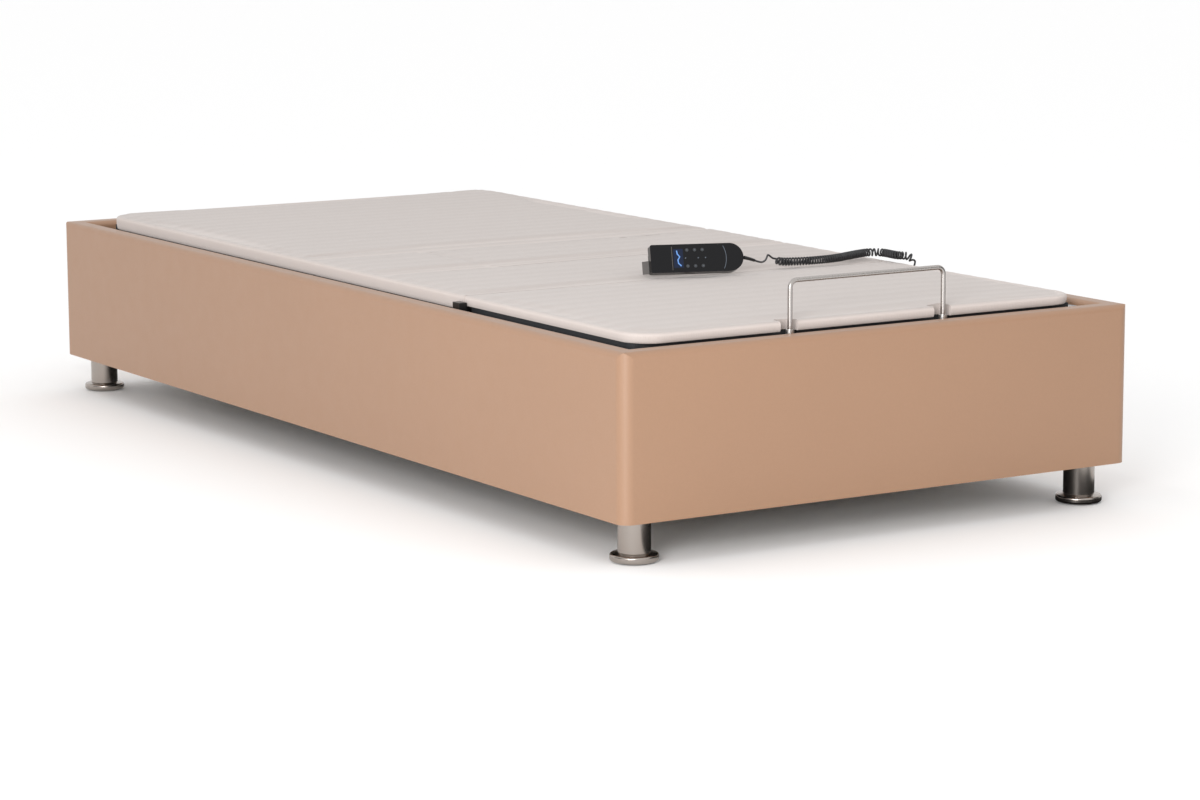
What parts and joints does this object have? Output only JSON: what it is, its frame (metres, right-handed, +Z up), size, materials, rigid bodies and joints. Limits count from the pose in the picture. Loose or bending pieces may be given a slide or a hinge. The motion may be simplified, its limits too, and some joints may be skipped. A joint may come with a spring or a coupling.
{
  "type": "adjustable bed base",
  "caption": "Upholstered electric bed base with a hinged four-section padded surface, mattress retainer bar, cylindrical steel feet and corded handset.",
  "frame": {"origin": "on the floor, below the middle of the upholstered box", "axes": "+X across the width, +Y along the length to the head end, +Z up; the handset and the retainer bar are at the -Y end"},
  "size_m": [0.99, 2.08, 0.419],
  "materials": {
    "leather_tan": "smooth beige-brown leather, satin",
    "pad_fabric": "pale woven cover with fine cross ribs",
    "board_wood": "raw birch plywood",
    "board_black": "black-stained plywood",
    "zinc_steel": "zinc-plated steel",
    "frame_steel": "silver-grey powder coat, satin",
    "arm_steel": "dark grey powder coat, satin",
    "leg_steel": "polished steel tube with fine brushing",
    "glide_felt": "dark felt",
    "bearing_nylon": "natural nylon",
    "drive_plastic": "dark grey moulded plastic",
    "motor_metal": "black motor cans",
    "black_gloss": "gloss black",
    "black_plastic": "satin black",
    "cord_black": "satin black cord jacket",
    "display": "dark blue display window",
    "hook_grey": "dark grey",
    "key_grey": "translucent grey keys"
  },
  "bodies": {
    "base": {"side_cover_left": "leather_tan", "side_cover_right": "leather_tan", "head_cover": "leather_tan", "foot_cover": "leather_tan", "panel_boards": "board_wood", "corner_brackets": "zinc_steel", "frame_screws": "zinc_steel", "leg_foot_left": "leg_steel", "leg_foot_right": "leg_steel", "leg_head_left": "leg_steel", "leg_head_right": "leg_steel", "leg_glides": "glide_felt", "frame_rail_left": "frame_steel", "frame_rail_right": "frame_steel", "frame_cross_tubes": "frame_steel", "seat_pad": "pad_fabric", "seat_board": "board_black", "seat_brackets": "frame_steel", "hinge_pins": "zinc_steel", "torque_bearings": "bearing_nylon", "drive_housing": "drive_plastic", "drive_cover": "drive_plastic", "drive_motors": "motor_metal", "control_box": "drive_plastic", "handset_lead_base": "cord_black"},
    "back_section": {"back_pad": "pad_fabric", "back_board": "board_black", "back_side_tubes": "frame_steel", "back_cross_tubes": "frame_steel"},
    "thigh_section": {"thigh_pad": "pad_fabric", "thigh_board": "board_black", "thigh_side_tubes": "frame_steel", "knee_covers": "black_plastic", "handset_lead_thigh": "cord_black"},
    "calf_section": {"calf_pad": "pad_fabric", "calf_board": "board_black", "calf_side_tubes": "frame_steel", "calf_cross_tubes": "frame_steel", "retainer_bar": "zinc_steel", "retainer_sleeves": "zinc_steel", "cord_socket": "black_plastic", "handset_lead_calf": "cord_black", "curly_cord": "cord_black", "cord_tails": "cord_black"},
    "back_torque": {"back_torque_tube": "arm_steel", "back_lift_arms": "arm_steel"},
    "leg_torque": {"leg_torque_tube": "arm_steel", "leg_lift_arms": "arm_steel"},
    "back_block": {"back_push_block": "bearing_nylon"},
    "leg_block": {"leg_push_block": "bearing_nylon"},
    "handset": {"handset_back": "black_plastic", "handset_front": "black_gloss", "handset_display": "display", "handset_hook": "hook_grey"},
    "key_back_up": {"key_back_up": "key_grey"},
    "key_back_down": {"key_back_down": "key_grey"},
    "key_legs_up": {"key_legs_up": "key_grey"},
    "key_legs_down": {"key_legs_down": "key_grey"},
    "key_both_up": {"key_both_up": "key_grey"},
    "key_both_down": {"key_both_down": "key_grey"}
  },
  "joints": [
    {"name": "back_section_hinge", "type": "hinge", "parent": "base", "child": "back_section", "pos_m": [0, 0.115, 0.3095], "axis": [1, 0, 0], "range_deg": [0, 60]},
    {"name": "thigh_section_hinge", "type": "hinge", "parent": "base", "child": "thigh_section", "pos_m": [0, -0.14, 0.3095], "axis": [-1, 0, 0], "range_deg": [0, 35]},
    {"name": "calf_section_hinge", "type": "hinge", "parent": "thigh_section", "child": "calf_section", "pos_m": [0, -0.452, 0.3095], "axis": [1, 0, 0], "range_deg": [0, 47.1]},
    {"name": "back_torque_turn", "type": "hinge", "parent": "base", "child": "back_torque", "pos_m": [0, 0.115, 0.2795], "axis": [1, 0, 0], "range_deg": [0, 56.6]},
    {"name": "leg_torque_turn", "type": "hinge", "parent": "base", "child": "leg_torque", "pos_m": [0, -0.14, 0.2795], "axis": [-1, 0, 0], "range_deg": [0, 33.5]},
    {"name": "back_block_slide", "type": "slide", "parent": "base", "child": "back_block", "axis": [0, 1, 0], "range_m": [0, 0.057]},
    {"name": "leg_block_slide", "type": "slide", "parent": "base", "child": "leg_block", "axis": [0, -1, 0], "range_m": [0, 0.035]},
    {"name": "handset_lift", "type": "slide", "parent": "calf_section", "child": "handset", "axis": [0, 0, 1], "range_m": [0, 0.15]},
    {"name": "key_back_up_press", "type": "slide", "parent": "handset", "child": "key_back_up", "axis": [0.3234, 0.8885, -0.3256], "range_m": [0, 0.001], "stiffness_N_per_m": 400, "springref_m": -0.0003},
    {"name": "key_back_down_press", "type": "slide", "parent": "handset", "child": "key_back_down", "axis": [0.3234, 0.8885, -0.3256], "range_m": [0, 0.001], "stiffness_N_per_m": 400, "springref_m": -0.0003},
    {"name": "key_legs_up_press", "type": "slide", "parent": "handset", "child": "key_legs_up", "axis": [0.3234, 0.8885, -0.3256], "range_m": [0, 0.001], "stiffness_N_per_m": 400, "springref_m": -0.0003},
    {"name": "key_legs_down_press", "type": "slide", "parent": "handset", "child": "key_legs_down", "axis": [0.3234, 0.8885, -0.3256], "range_m": [0, 0.001], "stiffness_N_per_m": 400, "springref_m": -0.0003},
    {"name": "key_both_up_press", "type": "slide", "parent": "handset", "child": "key_both_up", "axis": [0.3234, 0.8885, -0.3256], "range_m": [0, 0.001], "stiffness_N_per_m": 400, "springref_m": -0.0003},
    {"name": "key_both_down_press", "type": "slide", "parent": "handset", "child": "key_both_down", "axis": [0.3234, 0.8885, -0.3256], "range_m": [0, 0.001], "stiffness_N_per_m": 400, "springref_m": -0.0003}
  ],
  "couplings": [
    {"joint": "calf_section_hinge", "follows": "thigh_section_hinge", "ratio": 1.3429},
    {"joint": "back_torque_turn", "follows": "back_section_hinge", "ratio": 0.9427},
    {"joint": "leg_torque_turn", "follows": "thigh_section_hinge", "ratio": 0.9556},
    {"joint": "back_block_slide", "follows": "back_section_hinge", "m_per_rad": 0.05429},
    {"joint": "leg_block_slide", "follows": "thigh_section_hinge", "m_per_rad": 0.05653}
  ]
}
